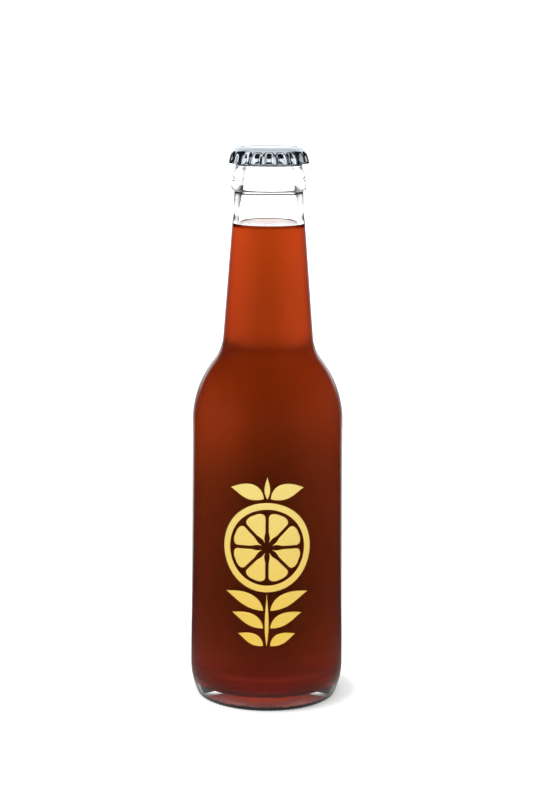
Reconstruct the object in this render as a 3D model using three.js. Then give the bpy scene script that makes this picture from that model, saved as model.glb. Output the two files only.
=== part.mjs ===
// A capped glass bottle of soft drink, with a gold emblem printed on the glass.
// Millimetres. +Z is up, the bottle stands on z = 0 on its own axis, and the emblem faces -Y.
import * as THREE from 'three';

// Bottle body
const HEEL_RADIUS = 27.6;          // widest ring, just above the heel
const SHOULDER_RADIUS = 27.15;     // the side tapers to this below the shoulder
const HEEL_Z = 11.0;
const SHOULDER_Z = 99.7;
const SHOULDER_CURVE = 37.4;       // convex arc that turns the side into the shoulder
const FILLET_CURVE = 15.4;         // concave arc between shoulder and neck
const NECK_ANGLE = THREE.MathUtils.degToRad(4.4);
const NECK_TOP_RADIUS = 12.94;
const NECK_TOP_Z = 172.0;
const WALL = 2.2;

// Heel, bearing ring and punt
const HEEL_CURVE = 25.6;
const HEEL_START_Z = 0.4;
const BEARING_OUTER = 25.1;
const BEARING_INNER = 22.0;
const PUNT_EDGE_RADIUS = 21.0;
const PUNT_EDGE_Z = 0.5;
const PUNT_HEIGHT = 3.2;
const FLOOR_THICKNESS = 4.2;
const INNER_HEEL_CURVE = 9.0;

// Crown finish: the ring and beads around the mouth
const LIP_Z = 198.0;
const LIP_OUTER = 11.0;
const LIP_INNER = 9.6;
const LOCKING_RING_RADIUS = 13.2;
const LOCKING_RING_Z = 195.2;
const UNDERCUT_RADIUS = 11.9;
const UNDERCUT_Z = 191.9;
const BEAD_RADIUS = 13.3;
const BEAD_LOW_Z = 183.4;
const BEAD_HIGH_Z = 187.2;
const COLLAR_RADIUS = 12.35;       // plain band between bead and neck
const BORE_RADIUS = 8.2;
const BORE_END_Z = 190.5;
const THROAT_RADIUS = 10.65;
const THROAT_Z = 177.0;

// Drink
const DRINK_LEVEL_Z = 171.2;
const DRINK_GAP = 0.15;

// Crown cap and its liner
const FLUTES = 21;
const SEGMENTS_PER_FLUTE = 4;
const CAP_TOP_Z = 198.85;
const CAP_DOME = 0.1;
const CAP_PANEL_RADIUS = 10.8;
const CAP_SHOULDER_RADIUS = 13.1;
const CAP_SHOULDER_Z = 197.0;
const CAP_BOTTOM_Z = 193.0;
const CAP_RIDGE_RADIUS = 14.35;
const CAP_VALLEY_RADIUS = 13.65;
const SHEET = 0.24;
const LINER_RADIUS = 10.9;
const LINER_GAP = 0.06;
const LINER_WEB = 0.25;
const LINER_RING_INNER = 8.8;

// Printed emblem: a slice of citrus with two leaves on top, over a spray of leaves
const PRINT_GAP = 0.15;
const PRINT_THICKNESS = 0.2;
const WHEEL_Z = 60.2;
const RIND_OUTER = 16.0;
const RIND_INNER = 13.6;
const SEGMENTS = 8;
const SEGMENT_OUTER = 12.4;
const SEGMENT_INNER = 2.2;
const SEGMENT_GAP = 1.25;
const TOP_LEAF_Z = 77.6;
const STALK_TOP_Z = 85.2;
const SPRAY_TOP_Z = 37.6;
const SPRAY_BOTTOM_Z = 24.8;
const SPRAY_PAIRS = 3;
const STEM_TOP_Z = 43.2;
const LEAF_OFFSET = 1.3;           // from the emblem's centre line to where a leaf starts

const ROUND_SEGMENTS = 40;

function arc(centreR, centreZ, radius, startAngle, endAngle, steps) {
  const points = [];
  for (let i = 0; i <= steps; i++) {
    const angle = THREE.MathUtils.lerp(startAngle, endAngle, i / steps);
    points.push(new THREE.Vector2(centreR + radius * Math.cos(angle), centreZ + radius * Math.sin(angle)));
  }
  return points;
}

function bodyRadius(z) {
  return THREE.MathUtils.mapLinear(z, HEEL_Z, SHOULDER_Z, HEEL_RADIUS, SHOULDER_RADIUS);
}

// Shoulder, fillet and neck line, moved inwards by `inset`, from the shoulder's foot to topZ.
function shoulderAndNeck(inset, topZ) {
  const convex = SHOULDER_CURVE - inset;
  const concave = FILLET_CURVE + inset;
  const centreR = SHOULDER_RADIUS - SHOULDER_CURVE;
  const slope = Math.tan(NECK_ANGLE);
  const neckRadius = NECK_TOP_RADIUS - inset / Math.cos(NECK_ANGLE);
  const reach = neckRadius + concave / Math.cos(NECK_ANGLE) + NECK_TOP_Z * slope - centreR;
  const a = 1 + slope * slope;
  const b = reach * slope + SHOULDER_Z;
  const c = reach * reach + SHOULDER_Z * SHOULDER_Z - (convex + concave) ** 2;
  const filletZ = (b + Math.sqrt(b * b - a * c)) / a;
  const filletR = centreR + reach - filletZ * slope;
  const turn = Math.atan2(filletZ - SHOULDER_Z, filletR - centreR);
  const shoulder = arc(centreR, SHOULDER_Z, convex, 0, turn, 8);
  const fillet = arc(filletR, filletZ, concave, turn + Math.PI, NECK_ANGLE + Math.PI, 3);
  const top = new THREE.Vector2(neckRadius + (NECK_TOP_Z - topZ) * slope, topZ);
  return [...shoulder, ...fillet.slice(1), top];
}

// Inside of the bottle below the shoulder, moved inwards by `inset` from the glass's inner face.
function innerFoot(inset) {
  const wallR = HEEL_RADIUS - WALL - inset;
  const floorEdgeZ = FLOOR_THICKNESS + inset;
  const curve = INNER_HEEL_CURVE - inset;
  const floor = new THREE.Vector2(0, floorEdgeZ + PUNT_HEIGHT);
  return [floor, ...arc(wallR - curve, floorEdgeZ + curve, curve, -Math.PI / 2, 0, 5)];
}

function revolve(points) {
  const geometry = new THREE.LatheGeometry(points, ROUND_SEGMENTS);
  geometry.rotateX(Math.PI / 2);
  return geometry;
}

function glassBottle() {
  const punt = [
    new THREE.Vector2(0, PUNT_HEIGHT),
    new THREE.Vector2(PUNT_EDGE_RADIUS * 0.5, PUNT_HEIGHT * 0.78),
    new THREE.Vector2(PUNT_EDGE_RADIUS, PUNT_EDGE_Z),
    new THREE.Vector2(BEARING_INNER, 0),
    new THREE.Vector2(BEARING_OUTER, 0),
  ];
  const heelTurn = Math.asin((HEEL_Z - HEEL_START_Z) / HEEL_CURVE);
  const heel = arc(HEEL_RADIUS - HEEL_CURVE, HEEL_Z, HEEL_CURVE, -heelTurn, 0, 5);
  const side = shoulderAndNeck(0, NECK_TOP_Z);
  const finish = [
    new THREE.Vector2(COLLAR_RADIUS, NECK_TOP_Z + 3.5),
    new THREE.Vector2(COLLAR_RADIUS, BEAD_LOW_Z),
    new THREE.Vector2(BEAD_RADIUS, BEAD_LOW_Z + 0.6),
    new THREE.Vector2(BEAD_RADIUS, BEAD_HIGH_Z - 0.6),
    new THREE.Vector2(BEAD_RADIUS - 0.45, BEAD_HIGH_Z),
    new THREE.Vector2(BEAD_RADIUS - 0.7, BEAD_HIGH_Z + 2.3),
    new THREE.Vector2(UNDERCUT_RADIUS, UNDERCUT_Z),
    new THREE.Vector2(LOCKING_RING_RADIUS, UNDERCUT_Z + 2.2),
    new THREE.Vector2(LOCKING_RING_RADIUS, LOCKING_RING_Z),
    new THREE.Vector2((LOCKING_RING_RADIUS + LIP_OUTER) / 2 + 0.5, LIP_Z - 0.9),
    new THREE.Vector2(LIP_OUTER, LIP_Z),
    new THREE.Vector2(LIP_INNER, LIP_Z),
    new THREE.Vector2(BORE_RADIUS, LIP_Z - 1.4),
    new THREE.Vector2(BORE_RADIUS, BORE_END_Z),
    new THREE.Vector2(THROAT_RADIUS, THROAT_Z),
  ];
  const inside = [...innerFoot(0), ...shoulderAndNeck(WALL, NECK_TOP_Z)].reverse();
  return revolve([...punt, ...heel, ...side, ...finish, ...inside]);
}

function drink() {
  const side = shoulderAndNeck(WALL + DRINK_GAP, DRINK_LEVEL_Z);
  return revolve([...innerFoot(DRINK_GAP), ...side, new THREE.Vector2(0, DRINK_LEVEL_Z)]);
}

// Closed solid from rings [radius, z, depth of the valleys] that start and end on the axis.
// The middle of one valley faces -Y.
function flutedSolid(rings) {
  const around = FLUTES * SEGMENTS_PER_FLUTE;
  const positions = [];
  const triangles = [];
  for (const [radius, z, depth] of rings) {
    for (let i = 0; i < around; i++) {
      const turn = i / around * 2 * Math.PI;
      const angle = turn - Math.PI / 2;
      const reach = radius - depth * (1 + Math.cos(turn * FLUTES)) / 2;
      positions.push(reach * Math.cos(angle), reach * Math.sin(angle), z);
    }
  }
  for (let ring = 0; ring < rings.length - 1; ring++) {
    for (let i = 0; i < around; i++) {
      const a = ring * around + i;
      const b = ring * around + (i + 1) % around;
      triangles.push(a, a + around, b, b, a + around, b + around);
    }
  }
  const firstPole = positions.length / 3;
  positions.push(0, 0, rings[0][1], 0, 0, rings.at(-1)[1]);
  const last = (rings.length - 1) * around;
  for (let i = 0; i < around; i++) {
    const next = (i + 1) % around;
    triangles.push(firstPole, i, next, firstPole + 1, last + next, last + i);
  }
  const geometry = new THREE.BufferGeometry();
  geometry.setAttribute('position', new THREE.Float32BufferAttribute(positions, 3));
  geometry.setIndex(triangles);
  geometry.computeVertexNormals();
  return geometry;
}

function crownCapShell() {
  const depth = CAP_RIDGE_RADIUS - CAP_VALLEY_RADIUS;
  const midZ = (CAP_SHOULDER_Z + CAP_BOTTOM_Z) / 2 + 0.4;
  const midRadius = CAP_RIDGE_RADIUS - 0.35;
  const outside = [
    [CAP_PANEL_RADIUS * 0.5, CAP_TOP_Z, 0],
    [CAP_PANEL_RADIUS, CAP_TOP_Z - CAP_DOME, 0],
    [CAP_PANEL_RADIUS + 1.5, CAP_TOP_Z - 0.65, 0],
    [CAP_SHOULDER_RADIUS + 0.35, CAP_SHOULDER_Z, 0],
    [midRadius, midZ, midRadius - CAP_VALLEY_RADIUS],
    [CAP_RIDGE_RADIUS, CAP_BOTTOM_Z, depth],
  ];
  const inside = [
    [CAP_RIDGE_RADIUS - SHEET, CAP_BOTTOM_Z, depth],
    [midRadius - SHEET, midZ, midRadius - CAP_VALLEY_RADIUS],
    [CAP_SHOULDER_RADIUS + 0.35 - SHEET, CAP_SHOULDER_Z, 0],
    [CAP_PANEL_RADIUS + 1.5 - SHEET * 0.6, CAP_TOP_Z - 0.65 - SHEET * 0.6, 0],
    [CAP_PANEL_RADIUS, CAP_TOP_Z - CAP_DOME - SHEET, 0],
    [CAP_PANEL_RADIUS * 0.5, CAP_TOP_Z - SHEET, 0],
  ];
  return flutedSolid([...outside, ...inside]);
}

function capLiner() {
  const topZ = CAP_TOP_Z - CAP_DOME - SHEET - LINER_GAP;
  const lowZ = LIP_Z + LINER_GAP;
  return revolve([
    new THREE.Vector2(0, topZ - LINER_WEB),
    new THREE.Vector2(LINER_RING_INNER - 0.6, topZ - LINER_WEB),
    new THREE.Vector2(LINER_RING_INNER, lowZ),
    new THREE.Vector2(LINER_RADIUS - 0.25, lowZ),
    new THREE.Vector2(LINER_RADIUS, lowZ + 0.2),
    new THREE.Vector2(LINER_RADIUS - 0.4, topZ),
    new THREE.Vector2(0, topZ),
  ]);
}

// Patch of print that wraps the glass. place(u, v) gives [distance round, height]; u closes on itself
// when `closed`. Both faces follow the bottle's side.
function printPatch(place, across, along, closed = false) {
  const columns = closed ? across : across + 1;
  const positions = [];
  for (const rise of [PRINT_GAP, PRINT_GAP + PRINT_THICKNESS]) {
    for (let i = 0; i < columns; i++) {
      for (let j = 0; j <= along; j++) {
        const [distance, z] = place(i / across, j / along);
        const radius = bodyRadius(z) + rise;
        const angle = distance / HEEL_RADIUS - Math.PI / 2;
        positions.push(radius * Math.cos(angle), radius * Math.sin(angle), z);
      }
    }
  }
  const face = columns * (along + 1);
  const at = (i, j) => (i % columns) * (along + 1) + j;
  const triangles = [];
  const wall = (a, b) => triangles.push(a, b, b + face, a, b + face, a + face);
  for (let i = 0; i < across; i++) {
    for (let j = 0; j < along; j++) {
      const corners = [at(i, j), at(i + 1, j), at(i + 1, j + 1), at(i, j + 1)];
      const [a, b, c, d] = corners;
      triangles.push(a + face, b + face, c + face, a + face, c + face, d + face);
      triangles.push(a, c, b, a, d, c);
    }
    wall(at(i, 0), at(i + 1, 0));
    wall(at(i + 1, along), at(i, along));
  }
  if (!closed) {
    for (let j = 0; j < along; j++) {
      wall(at(across, j), at(across, j + 1));
      wall(at(0, j + 1), at(0, j));
    }
  }
  const geometry = new THREE.BufferGeometry();
  geometry.setAttribute('position', new THREE.Float32BufferAttribute(positions, 3));
  geometry.setIndex(triangles);
  geometry.computeVertexNormals();
  return geometry;
}

function rindRing() {
  const place = (u, v) => {
    const angle = -u * 2 * Math.PI;
    const radius = THREE.MathUtils.lerp(RIND_INNER, RIND_OUTER, v);
    return [radius * Math.cos(angle), WHEEL_Z + radius * Math.sin(angle)];
  };
  return printPatch(place, 48, 1, true);
}

// Wedge with rounded corners, pointing at the middle of the wheel.
function wheelSegment(index) {
  const middle = (index + 0.5) / SEGMENTS * 2 * Math.PI;
  const place = (u, v) => {
    const radius = THREE.MathUtils.lerp(SEGMENT_INNER, SEGMENT_OUTER, v);
    const tip = Math.min(1, 3 * v + 0.12);
    const crown = Math.sqrt(Math.max(0.04, 1 - Math.max(0, (v - 0.75) / 0.26) ** 2));
    const half = (radius * Math.tan(Math.PI / SEGMENTS) - SEGMENT_GAP / 2) * Math.min(tip, crown);
    const side = Math.max(0.12, half) * (1 - 2 * u);
    return [
      radius * Math.cos(middle) - side * Math.sin(middle),
      WHEEL_Z + radius * Math.sin(middle) + side * Math.cos(middle),
    ];
  };
  return printPatch(place, 4, 7);
}

// Pointed leaf from [startX, startZ], of a given length and width, leaning by `lean` from straight up.
function leaf(startX, startZ, length, width, lean) {
  const place = (u, v) => {
    const half = Math.max(0.1, width / 2 * Math.sin(Math.PI * v ** 0.8));
    const sideways = half * (2 * u - 1);
    const bend = lean * (1 + 0.35 * v);
    const along = length * v;
    return [
      startX + along * Math.sin(bend) + sideways * Math.cos(bend),
      startZ + along * Math.cos(bend) - sideways * Math.sin(bend),
    ];
  };
  return printPatch(place, 2, 8);
}

const GOLD = { color: 0xe9c455, roughness: 0.35, metalness: 0.6 };

function named(name, geometry, look) {
  const mesh = new THREE.Mesh(geometry, new THREE.MeshStandardMaterial(look));
  mesh.name = name;
  return mesh;
}

function emblem() {
  const group = new THREE.Group();
  const print = (name, geometry) => group.add(named(`print_${name}`, geometry, GOLD));
  print('rind', rindRing());
  for (let i = 0; i < SEGMENTS; i++) {
    print(`segment_${i + 1}`, wheelSegment(i));
  }
  print('stalk', leaf(0, TOP_LEAF_Z, STALK_TOP_Z - TOP_LEAF_Z, 2.0, 0));
  print('stem', leaf(0, SPRAY_BOTTOM_Z, STEM_TOP_Z - SPRAY_BOTTOM_Z, 1.4, 0));
  for (const [side, sign] of [['left', -1], ['right', 1]]) {
    print(`top_leaf_${side}`, leaf(sign * LEAF_OFFSET, TOP_LEAF_Z, 12.5, 5.6, sign * 0.95));
    for (let i = 0; i < SPRAY_PAIRS; i++) {
      const z = THREE.MathUtils.lerp(SPRAY_TOP_Z, SPRAY_BOTTOM_Z, i / (SPRAY_PAIRS - 1));
      const length = 15 - 2.6 * i;
      const width = 4.8 - 0.4 * i;
      print(`leaf_${side}_${i + 1}`, leaf(sign * LEAF_OFFSET, z, length, width, sign * 0.85));
    }
  }
  return group;
}

const bottle = new THREE.Group();
bottle.add(named('glass_bottle', glassBottle(), { color: 0xf2f6f5, roughness: 0.03, metalness: 0 }));
bottle.add(named('drink', drink(), { color: 0x8a2c08, roughness: 0.05, metalness: 0 }));
bottle.add(emblem());

const cap = new THREE.Group();
cap.add(named('crown_cap_shell', crownCapShell(), { color: 0xc9ccd0, roughness: 0.22, metalness: 1 }));
cap.add(named('cap_liner', capLiner(), { color: 0xe6e4dc, roughness: 0.6, metalness: 0 }));
bottle.add(cap);

export default bottle;
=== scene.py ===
import math

import bmesh
import bpy
import numpy as np
from mathutils import Matrix, Vector, noise


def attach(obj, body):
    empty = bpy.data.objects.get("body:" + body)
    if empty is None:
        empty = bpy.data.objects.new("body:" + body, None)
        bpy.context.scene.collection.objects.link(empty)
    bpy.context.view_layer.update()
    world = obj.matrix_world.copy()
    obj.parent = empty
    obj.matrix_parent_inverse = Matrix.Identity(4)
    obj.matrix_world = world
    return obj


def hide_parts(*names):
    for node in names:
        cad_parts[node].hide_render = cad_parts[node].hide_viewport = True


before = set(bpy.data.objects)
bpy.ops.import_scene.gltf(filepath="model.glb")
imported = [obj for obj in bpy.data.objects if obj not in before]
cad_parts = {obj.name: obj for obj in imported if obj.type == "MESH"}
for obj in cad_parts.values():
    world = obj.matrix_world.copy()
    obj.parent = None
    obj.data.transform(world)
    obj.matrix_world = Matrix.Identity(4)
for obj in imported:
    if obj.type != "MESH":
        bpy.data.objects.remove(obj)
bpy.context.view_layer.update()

MM = 0.001

# ---------------------------------------------------------------------------------------------
# Driving dimensions in millimetres, most of them the CAD model's. +Z is up, the emblem faces -Y.
# ---------------------------------------------------------------------------------------------
HEEL_RADIUS, HEEL_Z = 27.6, 11.0
SHOULDER_RADIUS, SHOULDER_Z = 27.15, 99.7
SHOULDER_CURVE, FILLET_CURVE = 37.4, 15.4
NECK_ANGLE = math.radians(4.4)
NECK_TOP_RADIUS, NECK_TOP_Z = 12.94, 172.0
WALL = 2.2
HEEL_CURVE, HEEL_START_RADIUS, HEEL_START_Z = 25.6, 25.3, 0.4
INNER_HEEL_CURVE = 9.0
FLOOR_Z = 4.2
LOWEST_WALL_Z = FLOOR_Z + 2
WAVE_HEIGHT = 0.09             # of the uneven inner wall
PUNT_HEIGHT = 3.2
DRINK_LEVEL = 171.1
MENISCUS_RISE, MENISCUS_REACH = 0.35, 0.6
WETTING = 0.05                 # the drink's skin lies this deep in the glass wall, so no air film shows

COLUMNS = 384                  # round the bottle
KNURLS, KNURL_HEIGHT = 96, 0.22
KNURL_INNER_RADIUS, KNURL_FADE, KNURL_TOP_Z = 21.9, 0.4, 0.3
MOULD_DOTS = (-70.4, -63.7, -57.0, -24.0, -17.2, -3.2, 3.7, 10.6)   # degrees from the front
MOULD_DOT_Z, MOULD_DOT_RADIUS, MOULD_DOT_HEIGHT = 8.0, 0.75, 0.22
FINE_STEP, COARSE_STEP = 0.28, 1.8    # longest mesh edge up the wall, at the mould dots and elsewhere

FLUTES, COLUMNS_PER_FLUTE = 21, 24
CAP_TOP, CAP_BOTTOM = 198.85, 193.0
CAP_PANEL, CAP_RIDGE = 10.8, 14.35
SHEET = 0.24
PANEL_STEP, STEP_RADIUS, STEP_WIDTH = 0.12, 9.8, 0.12     # the panel lies this much lower than its rim
UPPER_FACE_Z = CAP_TOP - PANEL_STEP - 0.08                # above this, only the sheet's upper face
RIM_END, RIM_WIDTH = CAP_PANEL + 0.4, 1.1                 # where the raised rim falls away to the skirt
VALLEY_BREADTH = 1.7           # above 1, the flutes' valleys are broader than their ridges
# Height and depth of the flutes pressed into the skirt.
FLUTE_DEPTHS = ((193.0, 0.55), (193.4, 0.72), (194.2, 0.88), (195.2, 0.85), (196.1, 0.6),
                (196.7, 0.32), (197.4, 0.0))
LINER_LOW, LINER_GAP = 198.06, 0.04   # foot of the liner's ring, and the room under the sheet
CAP_FINE_STEP, CAP_COARSE_STEP = 0.06, 0.45   # longest mesh edge, at the panel's step and elsewhere

PRINT_LIFT, PRINT_THICKNESS, PRINT_BEVEL = 0.02, 0.24, 0.45
WHEEL_Z, RIND_OUTER, RIND_INNER = 60.2, 16.0, 13.6
SEGMENTS, SEGMENT_OUTER, SEGMENT_INNER, SEGMENT_GAP = 8, 12.4, 2.2, 1.25
TOP_LEAF_Z, STALK_TOP_Z = 77.6, 85.2
SPRAY_TOP_Z, SPRAY_BOTTOM_Z, STEM_TOP_Z, SPRAY_PAIRS = 37.6, 24.8, 43.2, 3
LEAF_OFFSET = 1.3
TOP_LEAF_LENGTH, TOP_LEAF_WIDTH, TOP_LEAF_LEAN = 12.5, 5.6, 0.95
LEAF_LENGTH, LEAF_WIDTH, LEAF_LEAN = 15, 4.8, 0.85
SHORTENING, NARROWING = 2.6, 0.4      # of each pair of leaves against the pair above it

# Light.
BACKDROP = 2.4                 # radiance of the lit backdrop and table behind the drink
AROUND = 1.0                   # and of the studio to its sides
FRONT = 0.3                    # and in front of it
OPEN_WHITE = 1.15              # and of the background round the bottle
MIRRORED_BACKDROP = 1.35       # and of the backdrop as the glass mirrors it
BACKDROP_LEAN = 0.12           # how far the backdrop's brightest part lies to the right
SHADE_AXIS = (0.006, 0.002)    # middle of the shade under the bottle, in metres


# ---------------------------------------------------------------------------------------------
# Camera
# ---------------------------------------------------------------------------------------------
def make_camera():
    data = bpy.data.cameras.new("camera")
    data.lens = 86.2
    data.shift_y = -0.1
    data.dof.use_dof = False
    camera = bpy.data.objects.new("camera", data)
    camera.location = (-0.0006, -0.680, 0.231)
    tilt = Matrix.Rotation(math.radians(90 - 7.884), 3, "X")
    roll = Matrix.Rotation(math.radians(0.295), 3, "Z")
    camera.rotation_euler = (tilt @ roll).to_euler()
    bpy.context.scene.collection.objects.link(camera)
    bpy.context.scene.camera = camera


# ---------------------------------------------------------------------------------------------
# Profiles: lists of (radius, height) in millimetres
# ---------------------------------------------------------------------------------------------
def lerp(a, b, t):
    return a + (b - a) * t


def smoothstep(t):
    t = min(1.0, max(0.0, t))
    return t * t * (3 - 2 * t)


def body_radius(z):
    return lerp(HEEL_RADIUS, SHOULDER_RADIUS, (z - HEEL_Z) / (SHOULDER_Z - HEEL_Z))


def arc(centre, radius, start, end, steps):
    angles = [lerp(start, end, i / steps) for i in range(steps + 1)]
    return [(centre[0] + radius * math.cos(a), centre[1] + radius * math.sin(a)) for a in angles]


def rounded(corners, steps=5):
    """A polyline of (radius, height, cut), each corner cut back by `cut` and rounded."""
    points = []
    for i, (r, z, cut) in enumerate(corners):
        if cut == 0 or i in (0, len(corners) - 1):
            points.append((r, z))
            continue
        corner = Vector((r, z))
        before = Vector(corners[i - 1][:2]) - corner
        after = Vector(corners[i + 1][:2]) - corner
        start = corner + before.normalized() * min(cut, before.length * 0.49)
        end = corner + after.normalized() * min(cut, after.length * 0.49)
        for k in range(steps + 1):
            t = k / steps
            point = start * (1 - t) ** 2 + corner * 2 * t * (1 - t) + end * t * t
            points.append((point.x, point.y))
    return points


def subdivided(points, longest):
    """Splits each stretch so that none is longer than longest(radius, height)."""
    result = [points[0]]
    for (r0, z0), (r1, z1) in zip(points, points[1:]):
        length = math.hypot(r1 - r0, z1 - z0)
        if length < 1e-6:
            continue
        count = max(1, math.ceil(length / longest((r0 + r1) / 2, (z0 + z1) / 2)))
        result += [(lerp(r0, r1, k / count), lerp(z0, z1, k / count)) for k in range(1, count + 1)]
    return result


def shoulder_and_neck(inset, top):
    """Shoulder, fillet and neck line, moved inwards by `inset`, up to the height `top`."""
    convex, concave = SHOULDER_CURVE - inset, FILLET_CURVE + inset
    centre_r = SHOULDER_RADIUS - SHOULDER_CURVE
    slope = math.tan(NECK_ANGLE)
    neck = NECK_TOP_RADIUS - inset / math.cos(NECK_ANGLE)
    reach = neck + concave / math.cos(NECK_ANGLE) + NECK_TOP_Z * slope - centre_r
    a = 1 + slope * slope
    b = reach * slope + SHOULDER_Z
    c = reach * reach + SHOULDER_Z * SHOULDER_Z - (convex + concave) ** 2
    fillet_z = (b + math.sqrt(b * b - a * c)) / a
    fillet_r = centre_r + reach - fillet_z * slope
    turn = math.atan2(fillet_z - SHOULDER_Z, fillet_r - centre_r)
    shoulder = arc((centre_r, SHOULDER_Z), convex, 0, turn, 30)
    fillet = arc((fillet_r, fillet_z), concave, turn + math.pi, NECK_ANGLE + math.pi, 14)
    return shoulder + fillet[1:] + [(neck + (NECK_TOP_Z - top) * slope, top)]


def inner_foot(inset):
    """Floor and inner heel of the bottle, moved inwards by `inset`."""
    wall = HEEL_RADIUS - WALL - inset
    curve = INNER_HEEL_CURVE - inset
    edge_z = FLOOR_Z + inset
    edge_r = wall - curve
    steps = [i / 10 for i in range(10)]
    dome = [(edge_r * t, edge_z + PUNT_HEIGHT * (1 - smoothstep(t))) for t in steps]
    return dome + arc((edge_r, edge_z + curve), curve, -math.pi / 2, 0, 14)


def bottle_profile():
    foot = rounded([
        (0, PUNT_HEIGHT, 0), (10.5, 2.6, 6), (20.6, 0.7, 1.5), (22.0, 0, 0.5), (25.0, 0, 0.35),
        (HEEL_START_RADIUS, HEEL_START_Z, 0)])
    heel_turn = math.asin((HEEL_Z - HEEL_START_Z) / HEEL_CURVE)
    heel = arc((HEEL_RADIUS - HEEL_CURVE, HEEL_Z), HEEL_CURVE, -heel_turn, 0, 14)
    side = shoulder_and_neck(0, NECK_TOP_Z)
    finish = rounded([
        (*side[-1], 0), (12.4, 175.6, 1.6), (12.3, 183.3, 0.3), (13.3, 183.8, 0.45), (13.3, 186.7, 0.5),
        (12.85, 187.3, 0.4), (12.6, 189.5, 1.2), (11.85, 191.9, 0.7), (11.9, 192.6, 0.4),
        (12.75, 194.1, 0.5), (12.75, 195.6, 1.0), (12.2, 197.6, 1.1), (11.0, 198.0, 0.8),
        (9.6, 198.0, 0.7), (8.2, 196.9, 0.9), (8.2, 190.5, 2.5), (10.65, 177.0, 4.0),
        (10.73, NECK_TOP_Z, 0)])
    inside = (inner_foot(0) + shoulder_and_neck(WALL, NECK_TOP_Z))[::-1]
    points = foot + heel[1:] + side[1:-1] + finish + inside[1:]

    def longest(r, z):
        beside_dots = abs(z - MOULD_DOT_Z) < 1.3 and r > 26
        return FINE_STEP if beside_dots else COARSE_STEP
    return subdivided(points, longest)


def drink_profile():
    side = inner_foot(-WETTING) + shoulder_and_neck(WALL - WETTING, DRINK_LEVEL + MENISCUS_RISE)
    wall = side[-1][0]
    inwards = [0.15, 0.35, 0.6, 0.9, 1.3, 1.8, 2.5, 3.5, 5.0]
    rises = [MENISCUS_RISE * math.exp(-d / MENISCUS_REACH) for d in inwards]
    meniscus = [(wall - d, DRINK_LEVEL + rise) for d, rise in zip(inwards, rises)]
    return subdivided(side + meniscus + [(0, DRINK_LEVEL)], lambda r, z: COARSE_STEP)


# ---------------------------------------------------------------------------------------------
# Meshes
# ---------------------------------------------------------------------------------------------
def make_piece(name, vertices, faces, body, slot, nodes, material):
    mesh = bpy.data.meshes.new(name)
    mesh.from_pydata([Vector(v) * MM for v in vertices], [], faces)
    work = bmesh.new()
    work.from_mesh(mesh)
    bmesh.ops.recalc_face_normals(work, faces=work.faces)
    work.to_mesh(mesh)
    work.free()
    mesh.shade_smooth()
    mesh.materials.append(material)
    piece = bpy.data.objects.new(name, mesh)
    bpy.context.scene.collection.objects.link(piece)
    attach(piece, body)
    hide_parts(*nodes)
    return piece


def revolved(profile, columns, shape=lambda r, z, turn: (r, z)):
    """Vertices and faces of a closed solid from a profile that starts and ends on the axis."""
    rings = profile[1:-1]
    vertices = []
    for r, z in rings:
        for i in range(columns):
            turn = 2 * math.pi * i / columns
            radius, height = shape(r, z, turn)
            angle = turn - math.pi / 2
            vertices.append((radius * math.cos(angle), radius * math.sin(angle), height))
    faces = []
    for k in range(len(rings) - 1):
        for i in range(columns):
            j = (i + 1) % columns
            low, high = k * columns, (k + 1) * columns
            faces.append((low + i, low + j, high + j, high + i))
    first, last = len(vertices), len(vertices) + 1
    vertices += [(0, 0, profile[0][1]), (0, 0, profile[-1][1])]
    end = (len(rings) - 1) * columns
    for i in range(columns):
        j = (i + 1) % columns
        faces.append((first, j, i))
        faces.append((last, end + i, end + j))
    return vertices, faces


def middle_wall(z):
    """Radius halfway through the glass wall, from the heel to the top of the neck."""
    if z < SHOULDER_Z:
        return body_radius(z) - WALL / 2
    return NECK_WALL[int(z)]


def neck_wall():
    """The same for each whole millimetre above the shoulder's foot."""
    line = shoulder_and_neck(WALL / 2, NECK_TOP_Z)
    radii, heights = zip(*line)
    levels = range(int(SHOULDER_Z), int(NECK_TOP_Z) + 2)
    return {z: float(np.interp(z + 0.5, heights, radii)) for z in levels}


NECK_WALL = neck_wall()


def on_inner_wall(r, z):
    """Whether a point of the glass is on the inner wall, below the crown finish."""
    return LOWEST_WALL_Z <= z <= NECK_TOP_Z and r < middle_wall(z)


def unevenness(turn, z):
    """Slow waves of the blown inner wall, which fade out at the floor and the neck's top."""
    place = Vector((math.cos(turn) * 1.3, math.sin(turn) * 1.3, z / 34))
    fade = smoothstep((z - 14) / 12) * smoothstep((NECK_TOP_Z - z) / 6)
    return WAVE_HEIGHT * noise.noise(place) * fade


def glass_shape(r, z, turn):
    """Knurls on the bearing ring, an uneven inner wall, and mould dots at the heel."""
    bearing = (smoothstep((HEEL_START_RADIUS - r) / KNURL_FADE)
               * smoothstep((r - KNURL_INNER_RADIUS) / KNURL_FADE))
    if z < KNURL_TOP_Z and bearing > 0:
        z += bearing * KNURL_HEIGHT * (0.5 - 0.5 * math.cos(KNURLS * turn))
        return r, z
    if on_inner_wall(r, z):
        return r + unevenness(turn, z), z
    if abs(z - MOULD_DOT_Z) < MOULD_DOT_RADIUS:
        for dot in MOULD_DOTS:
            across = math.remainder(turn - math.radians(dot), 2 * math.pi) * HEEL_RADIUS
            gap = math.hypot(across, z - MOULD_DOT_Z) / MOULD_DOT_RADIUS
            if gap < 1:
                r += MOULD_DOT_HEIGHT * math.sqrt(1 - gap * gap)
    return r, z


def drink_shape(r, z, turn):
    """The drink's side follows the uneven wall."""
    if z > LOWEST_WALL_Z and r > middle_wall(z) - WALL:
        r += unevenness(turn, z)
    return r, z


def valley(turn):
    """1 in the middle of a valley, 0 on a ridge: broad round valleys and narrow ridges."""
    t = 0.5 + 0.5 * math.cos(FLUTES * turn)
    return 1 - (1 - t) ** VALLEY_BREADTH


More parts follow.
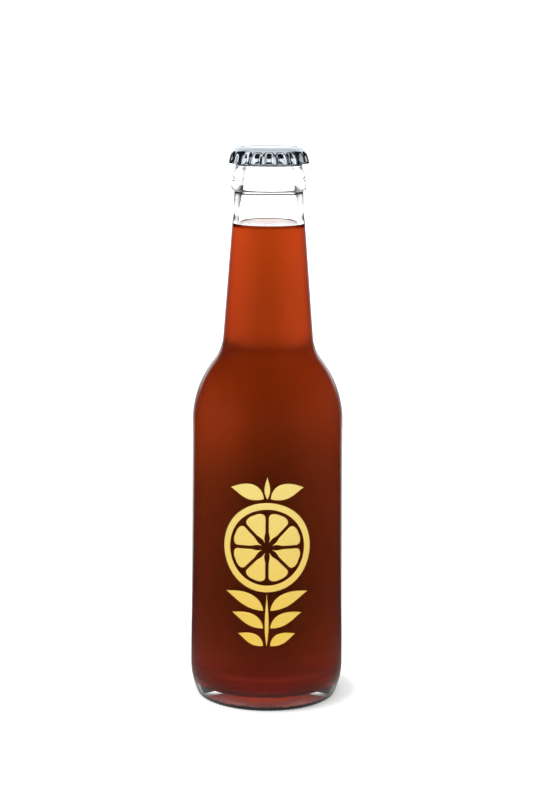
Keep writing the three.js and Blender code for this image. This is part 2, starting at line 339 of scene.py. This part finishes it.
def cap_profile():
    """Outside of the sheet from the panel to the hem: (radius, height)."""
    panel = CAP_TOP - PANEL_STEP
    outside = rounded([
        (0, panel, 0), (STEP_RADIUS, panel, 0), (CAP_PANEL, panel, 0.8), (12.35, CAP_TOP - 0.7, 0.9),
        (13.35, CAP_TOP - 2.1, 0.9), (14.0, 194.9, 1.0), (CAP_RIDGE, CAP_BOTTOM, 0)], 6)

    def longest(r, z):
        return CAP_FINE_STEP if abs(r - STEP_RADIUS) < 0.3 else CAP_COARSE_STEP
    return subdivided(outside, longest)


def cap_shell():
    line = cap_profile()
    normals = []
    for i in range(len(line)):
        ahead, behind = line[min(i + 1, len(line) - 1)], line[max(i - 1, 0)]
        along = Vector((ahead[0] - behind[0], ahead[1] - behind[1])).normalized()
        normals.append((along.y, -along.x))
    inner = [(r + n[0] * SHEET, z + n[1] * SHEET) for (r, z), n in zip(line, normals)]
    inner[0] = (0, line[0][1] - SHEET)
    inner[-1] = (CAP_RIDGE - SHEET, CAP_BOTTOM + 0.02)
    hem = [(CAP_RIDGE - 0.03, CAP_BOTTOM), (CAP_RIDGE - SHEET + 0.03, CAP_BOTTOM)]
    profile = line[:-1] + [(CAP_RIDGE, CAP_BOTTOM + 0.04)] + hem + inner[::-1]
    heights, depths = zip(*FLUTE_DEPTHS)

    def shape(r, z, turn):
        if z > UPPER_FACE_Z:
            rim = smoothstep((r - STEP_RADIUS) / STEP_WIDTH) * smoothstep((RIM_END - r) / RIM_WIDTH)
            z += PANEL_STEP * rim
        return r - valley(turn) * float(np.interp(z, heights, depths)), z
    return revolved(profile, FLUTES * COLUMNS_PER_FLUTE, shape)


def liner():
    low, top = LINER_LOW, CAP_TOP - PANEL_STEP - SHEET - LINER_GAP
    profile = rounded([
        (0, top - 0.25, 0), (8.2, top - 0.25, 0.3), (8.8, low, 0.15), (10.65, low, 0.15),
        (10.9, low + 0.2, 0.1), (10.5, top, 0.1), (0, top, 0)], 4)
    return revolved(subdivided(profile, lambda r, z: 1.0), 192)


def gap_to(edges, points):
    """Distance of each point from the nearest of these polylines."""
    gap = np.full(len(points), np.inf)
    for edge in edges:
        for a, b in zip(edge, edge[1:]):
            span = b - a
            t = np.clip(((points - a) @ span) / max(span @ span, 1e-12), 0, 1)
            gap = np.minimum(gap, np.linalg.norm(points - a - t[:, None] * span, axis=1))
    return gap


def print_patch(place, across, along, closed=False):
    """A pillow of enamel on the glass: place(u, v) gives (distance round, height)."""
    us = np.linspace(0, 1, across + 1)[: across if closed else across + 1]
    vs = np.linspace(0, 1, along + 1)
    grid = np.array([[place(u, v) for v in vs] for u in us])
    if closed:
        edges = [np.vstack([e, e[:1]]) for e in (grid[:, 0], grid[:, -1])]
    else:
        edges = [np.vstack([grid[:, 0], grid[-1, 1:], grid[-2::-1, -1], grid[0, -2::-1]])]
    flat = grid.reshape(-1, 2)
    x = np.clip(gap_to(edges, flat) / PRINT_BEVEL, 0, 1)
    rise = PRINT_LIFT + PRINT_THICKNESS * (0.25 + 0.75 * np.sqrt(1 - (1 - x) ** 2))
    top = [on_glass(p, h) for p, h in zip(flat, rise)]
    bottom = [on_glass(p, PRINT_LIFT) for p in flat]
    columns, rows = len(us), len(vs)
    size = columns * rows
    faces = []
    for i in range(across):
        for j in range(along):
            a, b = i * rows + j, ((i + 1) % columns) * rows + j
            faces.append((a, b, b + 1, a + 1))
            faces.append((a + size, a + 1 + size, b + 1 + size, b + size))
    rim = []
    for i in range(across):
        a, b = i * rows, ((i + 1) % columns) * rows
        rim += [(a, b), (b + along, a + along)]
    if not closed:
        last = across * rows
        for j in range(along):
            rim += [(last + j, last + j + 1), (j + 1, j)]
    faces += [(a, a + size, b + size, b) for a, b in rim]
    return top + bottom, faces


def on_glass(point, rise):
    radius = body_radius(point[1]) + rise
    angle = point[0] / HEEL_RADIUS - math.pi / 2
    return (radius * math.cos(angle), radius * math.sin(angle), point[1])


def rind_place(u, v):
    angle = -u * 2 * math.pi
    radius = lerp(RIND_INNER, RIND_OUTER, v)
    return radius * math.cos(angle), WHEEL_Z + radius * math.sin(angle)


def segment_place(index):
    middle = (index + 0.5) / SEGMENTS * 2 * math.pi

    def place(u, v):
        radius = lerp(SEGMENT_INNER, SEGMENT_OUTER, v)
        tip = min(1, 3 * v + 0.12)
        crown = math.sqrt(max(0.04, 1 - max(0, (v - 0.75) / 0.26) ** 2))
        half = (radius * math.tan(math.pi / SEGMENTS) - SEGMENT_GAP / 2) * min(tip, crown)
        side = max(0.12, half) * (1 - 2 * u)
        return (radius * math.cos(middle) - side * math.sin(middle),
                WHEEL_Z + radius * math.sin(middle) + side * math.cos(middle))
    return place


def leaf_place(start_x, start_z, length, width, lean):
    def place(u, v):
        half = max(0.1, width / 2 * math.sin(math.pi * v ** 0.8))
        sideways = half * (2 * u - 1)
        bend = lean * (1 + 0.35 * v)
        along = length * v
        return (start_x + along * math.sin(bend) + sideways * math.cos(bend),
                start_z + along * math.cos(bend) - sideways * math.sin(bend))
    return place


# ---------------------------------------------------------------------------------------------
# Materials
# ---------------------------------------------------------------------------------------------
CLEAR_GLASS = (0.985, 0.992, 0.988, 1)
# near-black painted contact shade for the lowest millimetre of the glass foot
PAINTED_FOOT_SHADE = (0.0006, 0.0004, 0.0004, 1)
DRINK_TINTS = (0.97, 0.068, 0.0034, 1), (1.0, 0.078, 0.0042, 1)
DRINK_BODY = (0.077, 0.26, 0.35, 1)
TINPLATE_TINTS = (0.53, 0.59, 0.65, 1), (0.62, 0.68, 0.74, 1)
PANEL_STEP_SHADE = (0.20, 0.22, 0.25, 1)
LINER_TINTS = (0.72, 0.70, 0.64, 1), (0.82, 0.80, 0.75, 1)
# The pale golds are lit copies of the deep ones: the print is painted paler towards its top, a painted
# light from above.
DEEP_GOLDS = (0.90, 0.56, 0.070, 1), (1.0, 0.72, 0.135, 1)       # low on the print
PALE_GOLDS = (0.95, 0.72, 0.19, 1), (1.0, 0.84, 0.30, 1)         # and high on it
PAPER = (0.82, 0.82, 0.82, 1)


class Nodes:
    """A short way to write a material's nodes."""

    def __init__(self, tree):
        self.tree = tree
        tree.nodes.clear()

    def add(self, kind, settings=None, **inputs):
        node = self.tree.nodes.new(kind)
        for key, value in (settings or {}).items():
            setattr(node, key, value)
        for key, value in inputs.items():
            self.put(node, key.replace("_", " "), value)
        return node

    def put(self, node, key, value):
        socket = node.inputs[int(key)] if key.isdigit() else node.inputs[key]
        if isinstance(value, bpy.types.NodeSocket):
            self.tree.links.new(value, socket)
        else:
            socket.default_value = value

    def math(self, operation, a, b=0.0):
        node = self.add("ShaderNodeMath", {"operation": operation})
        self.put(node, "0", a)
        self.put(node, "1", b)
        return node.outputs[0]

    def ramp(self, value, low, high, to_low=0.0, to_high=1.0, kind="SMOOTHSTEP"):
        node = self.add("ShaderNodeMapRange", {"interpolation_type": kind})
        self.put(node, "Value", value)
        self.put(node, "From Min", low)
        self.put(node, "From Max", high)
        self.put(node, "To Min", to_low)
        self.put(node, "To Max", to_high)
        return node.outputs["Result"]

    def mix_colour(self, factor, a, b):
        node = self.add("ShaderNodeMix", {"data_type": "RGBA"})
        self.put(node, "0", factor)
        self.put(node, "6", a)
        self.put(node, "7", b)
        return node.outputs[2]

    def noise(self, vector, scale, detail=3.0, roughness=0.5):
        node = self.add("ShaderNodeTexNoise", None, Scale=scale, Detail=detail, Roughness=roughness)
        self.put(node, "Vector", vector)
        return node.outputs["Fac"]

    def bump(self, height, distance, strength=1.0):
        node = self.add("ShaderNodeBump", None, Strength=strength, Distance=distance)
        self.put(node, "Height", height)
        return node.outputs["Normal"]


def new_material(name):
    material = bpy.data.materials.new(name)
    material.use_nodes = True
    return material, Nodes(material.node_tree)


def object_place(n):
    return n.add("ShaderNodeTexCoord").outputs["Object"]


def parts_of(n, place):
    """The X, Y and Z of a place or a direction."""
    return n.add("ShaderNodeSeparateXYZ", None, Vector=place).outputs


def axis_distance(n, parts, axis=(0.0, 0.0)):
    """Distance from an upright axis at this X and Y."""
    level = n.add("ShaderNodeCombineXYZ", None, X=parts["X"], Y=parts["Y"])
    node = n.add("ShaderNodeVectorMath", {"operation": "DISTANCE"})
    n.put(node, "0", level.outputs[0])
    n.put(node, "1", (*axis, 0.0))
    return node.outputs["Value"]


def finish_material(n, shader, volume=None):
    out = n.add("ShaderNodeOutputMaterial")
    n.put(out, "Surface", shader.outputs[0])
    if volume:
        n.put(out, "Volume", volume.outputs[0])


def glass_material():
    material, n = new_material("clear_glass")
    place = object_place(n)
    ripple = n.noise(place, 55.0, 2.0)
    smudge = n.ramp(n.noise(place, 140.0, 5.0, 0.62), 0.56, 0.8, 0.0, 0.045)
    height = parts_of(n, place)["Z"]
    stippled = n.ramp(height, 0.0003, 0.0009, 0.6, 0.0)
    # Painted shade: below about 1 mm the glass turns near-black, with a noisy upper edge, in place of
    # the contact shadow where the foot meets the table.
    shade_edge_noise = n.math("MULTIPLY", n.noise(place, 1100.0, 2.0), 0.0012)
    painted_contact_shade = n.ramp(n.math("SUBTRACT", height, shade_edge_noise), 0.0009, 0.0013, 1.0, 0.0)
    shader = n.add("ShaderNodeBsdfPrincipled", None, IOR=1.52)
    n.put(shader, "Base Color", n.mix_colour(painted_contact_shade, CLEAR_GLASS, PAINTED_FOOT_SHADE))
    n.put(shader, "Transmission Weight", 1.0)
    n.put(shader, "Roughness", n.math("ADD", smudge, stippled))
    n.put(shader, "Normal", n.bump(ripple, 0.00012, 0.35))
    finish_material(n, shader)
    return material


def drink_material():
    material, n = new_material("drink")
    place = object_place(n)
    cloud = n.noise(place, 22.0, 2.0)
    height = parts_of(n, place)["Z"]
    clear = n.ramp(height, 0.1702, 0.1708, 1.0, 0.0)
    shader = n.add("ShaderNodeBsdfPrincipled", None, IOR=1.34)
    n.put(shader, "Base Color", n.mix_colour(cloud, *DRINK_TINTS))
    n.put(shader, "Roughness", n.math("MULTIPLY", clear, 0.32))
    n.put(shader, "Transmission Weight", 0.95)
    n.put(shader, "Specular IOR Level", 0.1)
    volume = n.add("ShaderNodeVolumeAbsorption", None, Color=DRINK_BODY, Density=65.0)
    finish_material(n, shader, volume)
    return material


def tinplate_material():
    material, n = new_material("tinplate")
    place = object_place(n)
    scuff = n.noise(place, 900.0, 4.0, 0.6)
    cloud = n.noise(place, 210.0, 3.0)
    parts = parts_of(n, place)
    reach = axis_distance(n, parts)
    step = n.math("MULTIPLY", n.ramp(reach, 0.0095, 0.0097), n.ramp(reach, 0.0101, 0.0104, 1.0, 0.0))
    on_top = n.ramp(parts["Z"], 0.1974, 0.1982)
    edge = n.math("MULTIPLY", step, on_top)
    shader = n.add("ShaderNodeBsdfPrincipled", None, Metallic=1.0)
    bright = n.mix_colour(cloud, *TINPLATE_TINTS)
    n.put(shader, "Base Color", n.mix_colour(edge, bright, PANEL_STEP_SHADE))
    polish = n.ramp(n.math("ADD", scuff, cloud), 0.8, 1.25, 0.08, 0.2)
    matt = n.math("MULTIPLY", n.ramp(reach, 0.006, 0.0095, 0.0, 0.36), on_top)
    n.put(shader, "Roughness", n.math("ADD", polish, matt))
    n.put(shader, "Normal", n.bump(scuff, 0.00004, 0.5))
    finish_material(n, shader)
    return material


def liner_material():
    material, n = new_material("liner")
    place = object_place(n)
    grain = n.noise(place, 1500.0, 3.0)
    shader = n.add("ShaderNodeBsdfPrincipled", None, Roughness=0.55)
    n.put(shader, "Base Color", n.mix_colour(grain, *LINER_TINTS))
    n.put(shader, "Normal", n.bump(grain, 0.00003, 0.4))
    finish_material(n, shader)
    return material


def gold_material():
    material, n = new_material("gold_print")
    place = object_place(n)
    grain = n.noise(place, 2600.0, 3.0)
    height = parts_of(n, place)["Z"]
    # Painted light: the print blends from the deep golds low down to the pale golds high up.
    lit_from_above = n.ramp(height, 0.03, 0.086, kind="LINEAR")
    deep = n.mix_colour(grain, *DEEP_GOLDS)
    pale = n.mix_colour(grain, *PALE_GOLDS)
    shader = n.add("ShaderNodeBsdfPrincipled", None, Metallic=0.35)
    n.put(shader, "Base Color", n.mix_colour(lit_from_above, deep, pale))
    n.put(shader, "Roughness", n.ramp(grain, 0.3, 0.7, 0.34, 0.46))
    n.put(shader, "Normal", n.bump(grain, 0.00002, 0.5))
    finish_material(n, shader)
    return material


# ---------------------------------------------------------------------------------------------
# Table, backdrop and light
# ---------------------------------------------------------------------------------------------
def by_ray(n, refracted, mirrored, direct):
    """One value for rays that come through glass, one for mirrored rays, one for all others."""
    path = n.add("ShaderNodeLightPath")
    other = chosen(n, path.outputs["Is Glossy Ray"], mirrored, direct)
    return chosen(n, path.outputs["Is Transmission Ray"], refracted, other)


def chosen(n, flag, value, other):
    """value where flag is 1, other where it is 0."""
    node = n.add("ShaderNodeMix", {"data_type": "FLOAT"})
    n.put(node, "0", flag)
    n.put(node, "2", other)
    n.put(node, "3", value)
    return node.outputs[0]


def backlight(n, forward, right, open_share):
    """Radiance by how far a direction points to the back: through glass, and mirrored in it.

    Rays that pass few surfaces get only open_share of the light from around, so that no haze
    lies over the drink."""
    leaning = n.math("ADD", forward, n.math("MULTIPLY", right, BACKDROP_LEAN))
    passes = n.add("ShaderNodeLightPath").outputs["Transmission Depth"]
    share = n.math("MAXIMUM", n.ramp(passes, 2.0, 4.0), open_share)
    around = n.math("MULTIPLY", n.ramp(forward, -0.95, -0.55, FRONT, AROUND), share)
    refracted = n.math("ADD", around, n.ramp(leaning, 0.42, 0.97, 0.0, BACKDROP - AROUND))
    mirrored = n.ramp(forward, 0.78, 0.97, 0.0, MIRRORED_BACKDROP)
    return refracted, mirrored


def make_world():
    """A white studio, bright behind the bottle and dimmer in front of it."""
    world = bpy.data.worlds.new("studio")
    bpy.context.scene.world = world
    world.use_nodes = True
    n = Nodes(world.node_tree)
    direction = n.add("ShaderNodeTexCoord").outputs["Generated"]
    parts = parts_of(n, direction)
    open_share = n.ramp(parts["Z"], 0.12, 0.22, 0.9, 0.12)
    refracted, mirrored = backlight(n, parts["Y"], parts["X"], open_share)
    refracted = n.math("MULTIPLY", refracted, n.ramp(parts["Z"], 0.25, 0.36, 1.0, 0.25))
    background = n.add("ShaderNodeBackground", None, Color=(1, 1, 1, 1))
    n.put(background, "Strength", by_ray(n, refracted, mirrored, OPEN_WHITE))
    out = n.add("ShaderNodeOutputWorld")
    n.put(out, "Surface", background.outputs[0])


def make_table():
    """A white table out to the horizon, whose light differs by how a ray reached it."""
    mesh = bpy.data.meshes.new("table")
    work = bmesh.new()
    bmesh.ops.create_circle(work, cap_ends=True, segments=96, radius=9.0)
    work.to_mesh(mesh)
    work.free()
    table = bpy.data.objects.new("table", mesh)
    bpy.context.scene.collection.objects.link(table)
    material, n = new_material("table_white")
    mesh.materials.append(material)
    parts = parts_of(n, object_place(n))
    distance = axis_distance(n, parts)
    forward = n.math("DIVIDE", parts["Y"], distance)
    right = n.math("DIVIDE", parts["X"], distance)
    open_share = n.ramp(distance, 0.5, 1.2, 0.12, 0.9)
    far_refracted, far_mirrored = backlight(n, forward, right, open_share)
    far_refracted = n.math("MULTIPLY", far_refracted, n.ramp(distance, 0.04, 0.8, 0.46, 1.0))
    open_table = n.math("MAXIMUM", n.ramp(distance, 0.03, 0.055, 1.5, 0.0), far_refracted)
    far_mirrored = n.math("MULTIPLY", far_mirrored, n.ramp(distance, 0.4, 0.8, 1.0, 0.35))
    far_mirrored = n.math("MULTIPLY", far_mirrored, n.ramp(distance, 0.05, 0.12))
    nearness = n.math("DIVIDE", 0.021, distance)
    underfoot = n.math("MINIMUM", n.math("MULTIPLY", nearness, nearness), 0.5)
    mirrored = n.math("MAXIMUM", underfoot, far_mirrored)
    shaded_side = n.ramp(axis_distance(n, parts, SHADE_AXIS), 0.024, 0.031, 0.2, 0.55)

    def table_glow(edge, under):
        """The table through glass: dark at the foot, and lit through the drink within it."""
        outside = n.math("MULTIPLY", open_table, n.ramp(distance, 0.0255, edge))
        refracted = n.math("MAXIMUM", outside, n.ramp(distance, 0.0185, 0.0215, under, 0.0))
        return by_ray(n, refracted, mirrored, shaded_side)

    glow = n.add("ShaderNodeCombineXYZ", None, X=table_glow(0.030, 0.80), Y=table_glow(0.046, 0.26),
                 Z=table_glow(0.048, 0.10))
    emission = n.add("ShaderNodeEmission", None, Color=glow.outputs[0], Strength=1.0)
    paper = n.add("ShaderNodeBsdfDiffuse", None, Color=PAPER)
    unlit = n.add("ShaderNodeEmission", None, Strength=0.0)
    shaded = n.add("ShaderNodeMixShader", None, Fac=by_ray(n, 1.0, 1.0, 0.0))
    n.put(shaded, "1", paper.outputs[0])
    n.put(shaded, "2", unlit.outputs[0])
    both = n.add("ShaderNodeAddShader")
    n.put(both, "0", shaded.outputs[0])
    n.put(both, "1", emission.outputs[0])
    finish_material(n, both)


def softbox(name, place, target, width, height, radiance, receivers):
    """A rectangular lamp of this radiance."""
    data = bpy.data.lights.new(name, "AREA")
    data.shape, data.size, data.size_y = "RECTANGLE", width, height
    data.energy = radiance * math.pi * width * height
    add_lamp(data, place, target, receivers)


def beam(name, place, target, degrees, power, receivers):
    """A narrow soft-edged beam that leaves no highlight."""
    data = bpy.data.lights.new(name, "SPOT")
    data.spot_size, data.spot_blend, data.energy = math.radians(degrees), 1.0, power
    data.shadow_soft_size = 0.02
    lamp = add_lamp(data, place, target, receivers)
    lamp.visible_glossy = lamp.visible_transmission = False


def add_lamp(data, place, target, receivers):
    """Lights only the receivers, and nothing but they can shade it."""
    lamp = bpy.data.objects.new(data.name, data)
    lamp.location = place
    lamp.rotation_euler = (Vector(target) - Vector(place)).to_track_quat("-Z", "Y").to_euler()
    bpy.context.scene.collection.objects.link(lamp)
    lamp.light_linking.receiver_collection = collection_of(data.name + "_receivers", receivers)
    lamp.light_linking.blocker_collection = collection_of(data.name + "_blockers", receivers)
    return lamp


def collection_of(name, pieces):
    group = bpy.data.collections.new(name)
    for piece in pieces:
        group.objects.link(piece)
    return group


def make_lights(cap, drink, emblem):
    """Softboxes for the metal, the drink and the print: the clear glass must not mirror them."""
    at_cap = (0, 0, 0.196)
    at_print = (0, 0, 0.06)
    softbox("cap_back", (0, 0.80, 0.80), at_cap, 1.8, 0.8, 1.15, cap)
    softbox("overhead", (0, -0.10, 0.95), at_cap, 1.5, 0.9, 0.95, cap)
    softbox("cap_front", (0, -0.80, 0.56), at_cap, 1.1, 0.26, 1.4, cap)
    softbox("cap_left", (-0.50, -0.22, 0.25), at_cap, 0.16, 0.5, 1.5, cap)
    softbox("cap_right", (0.50, -0.10, 0.25), at_cap, 0.08, 0.5, 1.0, cap)
    softbox("cap_low_right", (0.55, -0.55, 0.42), at_cap, 0.6, 0.2, 0.75, cap)
    softbox("cap_low_left", (-0.60, -0.55, 0.42), at_cap, 0.4, 0.2, 0.75, cap)
    beam("glow_left", (-0.42, -0.36, 0.28), (-0.019, -0.018, 0.110), 3.7, 80.0, [drink])
    beam("glow_right", (0.42, -0.36, 0.42), (0.0165, -0.015, 0.119), 3.4, 90.0, [drink])
    beam("foot_front", (0, -0.50, 0.06), (0, -0.025, 0.011), 4.0, 11.0, [drink])
    beam("foot_left", (-0.34, -0.38, 0.06), (-0.019, -0.018, 0.012), 4.0, 20.0, [drink])
    beam("foot_right", (0.34, -0.38, 0.06), (0.019, -0.018, 0.012), 4.0, 17.0, [drink])
    softbox("print_front", (-0.15, -0.60, 0.45), at_print, 0.3, 0.12, 8.0, emblem)


# ---------------------------------------------------------------------------------------------
# The object
# ---------------------------------------------------------------------------------------------
def make_bottle():
    vertices, faces = revolved(bottle_profile(), COLUMNS, glass_shape)
    make_piece("glass", vertices, faces, "bottle", "clear_glass", ["glass_bottle"], glass_material())


def make_drink():
    vertices, faces = revolved(drink_profile(), COLUMNS, drink_shape)
    return make_piece("soft_drink", vertices, faces, "bottle", "drink", ["drink"], drink_material())


def make_cap():
    shell = make_piece("crown_shell", *cap_shell(), "crown_cap", "tinplate", ["crown_cap_shell"],
                       tinplate_material())
    seal = make_piece("crown_liner", *liner(), "crown_cap", "liner", ["cap_liner"], liner_material())
    return [shell, seal]


def make_emblem():
    gold = gold_material()
    pieces = []

    def enamel(name, place, across, along, closed=False):
        vertices, faces = print_patch(place, across, along, closed)
        pieces.append(make_piece("enamel_" + name, vertices, faces, "bottle", "gold_print",
                                 ["print_" + name], gold))

    enamel("rind", rind_place, 160, 12, closed=True)
    for i in range(SEGMENTS):
        enamel(f"segment_{i + 1}", segment_place(i), 24, 40)
    enamel("stalk", leaf_place(0, TOP_LEAF_Z, STALK_TOP_Z - TOP_LEAF_Z, 2.0, 0), 12, 32)
    enamel("stem", leaf_place(0, SPRAY_BOTTOM_Z, STEM_TOP_Z - SPRAY_BOTTOM_Z, 1.4, 0), 10, 48)
    for side, sign in (("left", -1), ("right", 1)):
        top_leaf = leaf_place(sign * LEAF_OFFSET, TOP_LEAF_Z, TOP_LEAF_LENGTH, TOP_LEAF_WIDTH,
                              sign * TOP_LEAF_LEAN)
        enamel(f"top_leaf_{side}", top_leaf, 24, 44)
        for i in range(SPRAY_PAIRS):
            z = lerp(SPRAY_TOP_Z, SPRAY_BOTTOM_Z, i / (SPRAY_PAIRS - 1))
            length, width = LEAF_LENGTH - SHORTENING * i, LEAF_WIDTH - NARROWING * i
            leaf = leaf_place(sign * LEAF_OFFSET, z, length, width, sign * LEAF_LEAN)
            enamel(f"leaf_{side}_{i + 1}", leaf, 22, 44)
    return pieces


make_camera()
make_world()
make_table()
make_bottle()
make_lights(make_cap(), make_drink(), make_emblem())
bpy.context.scene.view_settings.view_transform = "Standard"
bpy.context.scene.cycles.max_bounces = 24
bpy.context.scene.cycles.transmission_bounces = 24
